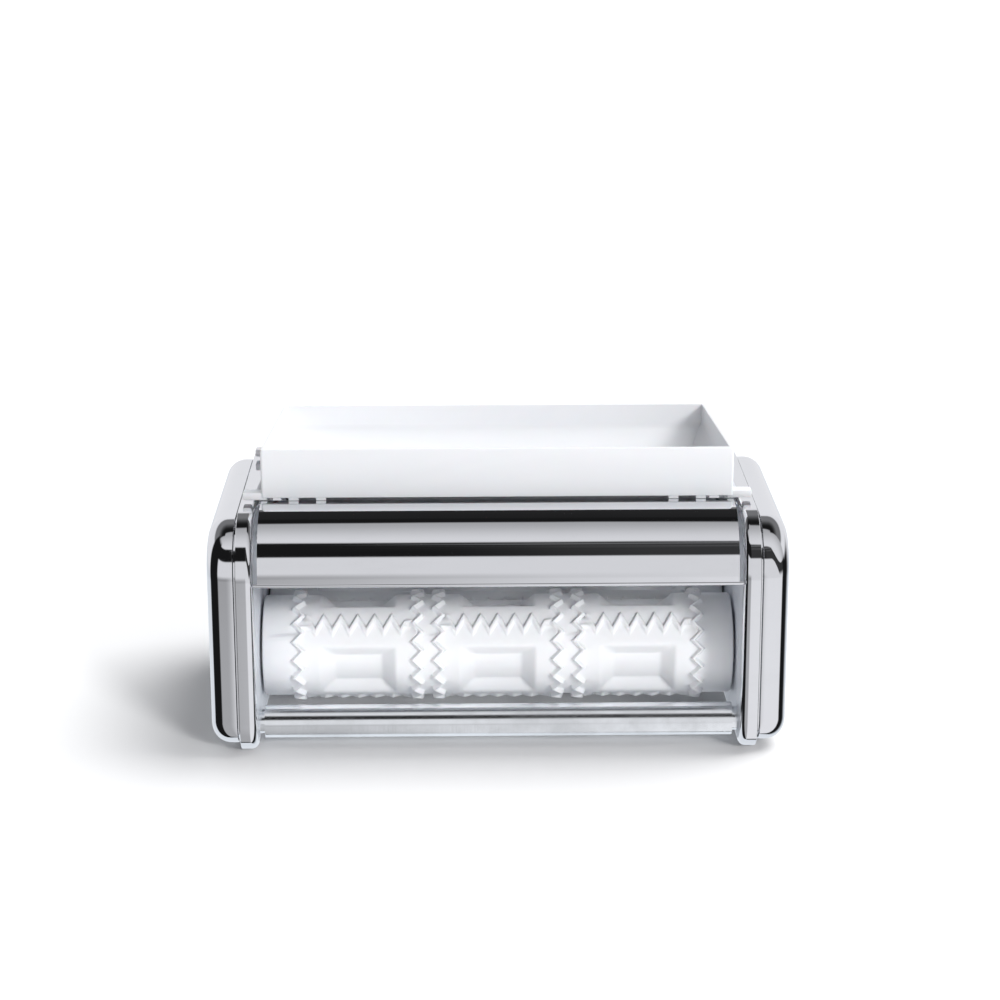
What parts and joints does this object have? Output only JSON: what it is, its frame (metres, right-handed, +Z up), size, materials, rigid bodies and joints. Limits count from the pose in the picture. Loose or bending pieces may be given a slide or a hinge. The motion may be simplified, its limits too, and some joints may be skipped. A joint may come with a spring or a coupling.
{
  "type": "ravioli roller attachment",
  "caption": "Ravioli maker for a hand cranked pasta machine: geared mould rollers in a chromed frame under a white lift-off filling hopper, with a crank socket.",
  "frame": {"origin": "on the surface that it stands on, under the middle of the whole width and depth, hooks included; the rollers' middle is 7 mm in front of it", "axes": "+Z up; -Y is the front with the open roller; +X is the side with the crank socket"},
  "size_m": [0.203, 0.13, 0.1049],
  "materials": {
    "chromed_steel": "mirror",
    "bright_rod": "polished",
    "zinc_plated_steel": "satin",
    "machined_steel": "satin",
    "bush_nylon": "matte",
    "white_plastic": "gloss"
  },
  "bodies": {
    "frame": {"right_side_plate": "chromed_steel", "left_side_plate": "chromed_steel", "right_side_cover": "chromed_steel", "left_side_cover": "chromed_steel", "front_cover": "chromed_steel", "rear_cover": "chromed_steel", "front_tie_rod": "bright_rod", "rear_tie_rod": "bright_rod", "upper_front_tie_rod": "zinc_plated_steel", "upper_rear_tie_rod": "zinc_plated_steel", "tie_rod_screws": "zinc_plated_steel", "side_cover_screws": "zinc_plated_steel", "right_machine_hook": "zinc_plated_steel", "left_machine_hook": "zinc_plated_steel", "hook_rivets": "zinc_plated_steel", "front_right_bush": "bush_nylon", "front_left_bush": "bush_nylon", "rear_right_bush": "bush_nylon", "rear_left_bush": "bush_nylon"},
    "drive_roller": {"front_mould_roller": "white_plastic", "drive_shaft": "machined_steel", "drive_gear": "machined_steel", "drive_gear_key": "machined_steel", "drive_shaft_clips": "machined_steel"},
    "idle_roller": {"rear_mould_roller": "white_plastic", "idle_shaft": "machined_steel", "driven_gear": "machined_steel", "driven_gear_key": "machined_steel", "idle_shaft_clips": "machined_steel"},
    "hopper": {"hopper": "white_plastic"}
  },
  "joints": [
    {"name": "drive_spin", "type": "hinge", "parent": "frame", "child": "drive_roller", "pos_m": [0, -0.027, 0.029], "axis": [1, 0, 0], "continuous": true},
    {"name": "idle_spin", "type": "hinge", "parent": "frame", "child": "idle_roller", "pos_m": [0, 0.013, 0.029], "axis": [1, 0, 0], "continuous": true},
    {"name": "hopper_lift", "type": "slide", "parent": "frame", "child": "hopper", "axis": [0, 0, 1], "range_m": [0, 0.06]}
  ],
  "couplings": [
    {"joint": "idle_spin", "follows": "drive_spin", "ratio": -1}
  ]
}
